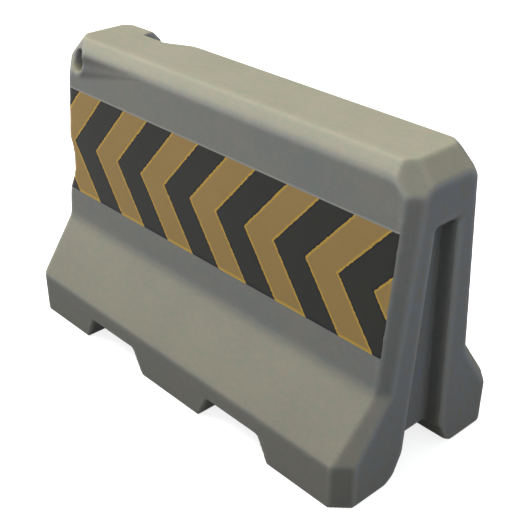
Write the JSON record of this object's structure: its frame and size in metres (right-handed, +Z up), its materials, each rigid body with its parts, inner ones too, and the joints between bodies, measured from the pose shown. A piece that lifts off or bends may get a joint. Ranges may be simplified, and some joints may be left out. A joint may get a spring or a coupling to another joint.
{
  "type": "concrete road barrier",
  "caption": "Short precast concrete road barrier with flared feet, drainage openings below and an upright groove in one end.",
  "frame": {"origin": "middle of the base on the floor, under the centre of the block", "axes": "+X along the barrier towards the grooved end, +Y across it towards the scooped top edge, +Z up"},
  "size_m": [1.25, 0.558, 0.8],
  "materials": {
    "concrete": "matt cast concrete with a painted chevron band"
  },
  "bodies": {
    "root": {"barrier_body": "concrete"}
  },
  "joints": []
}
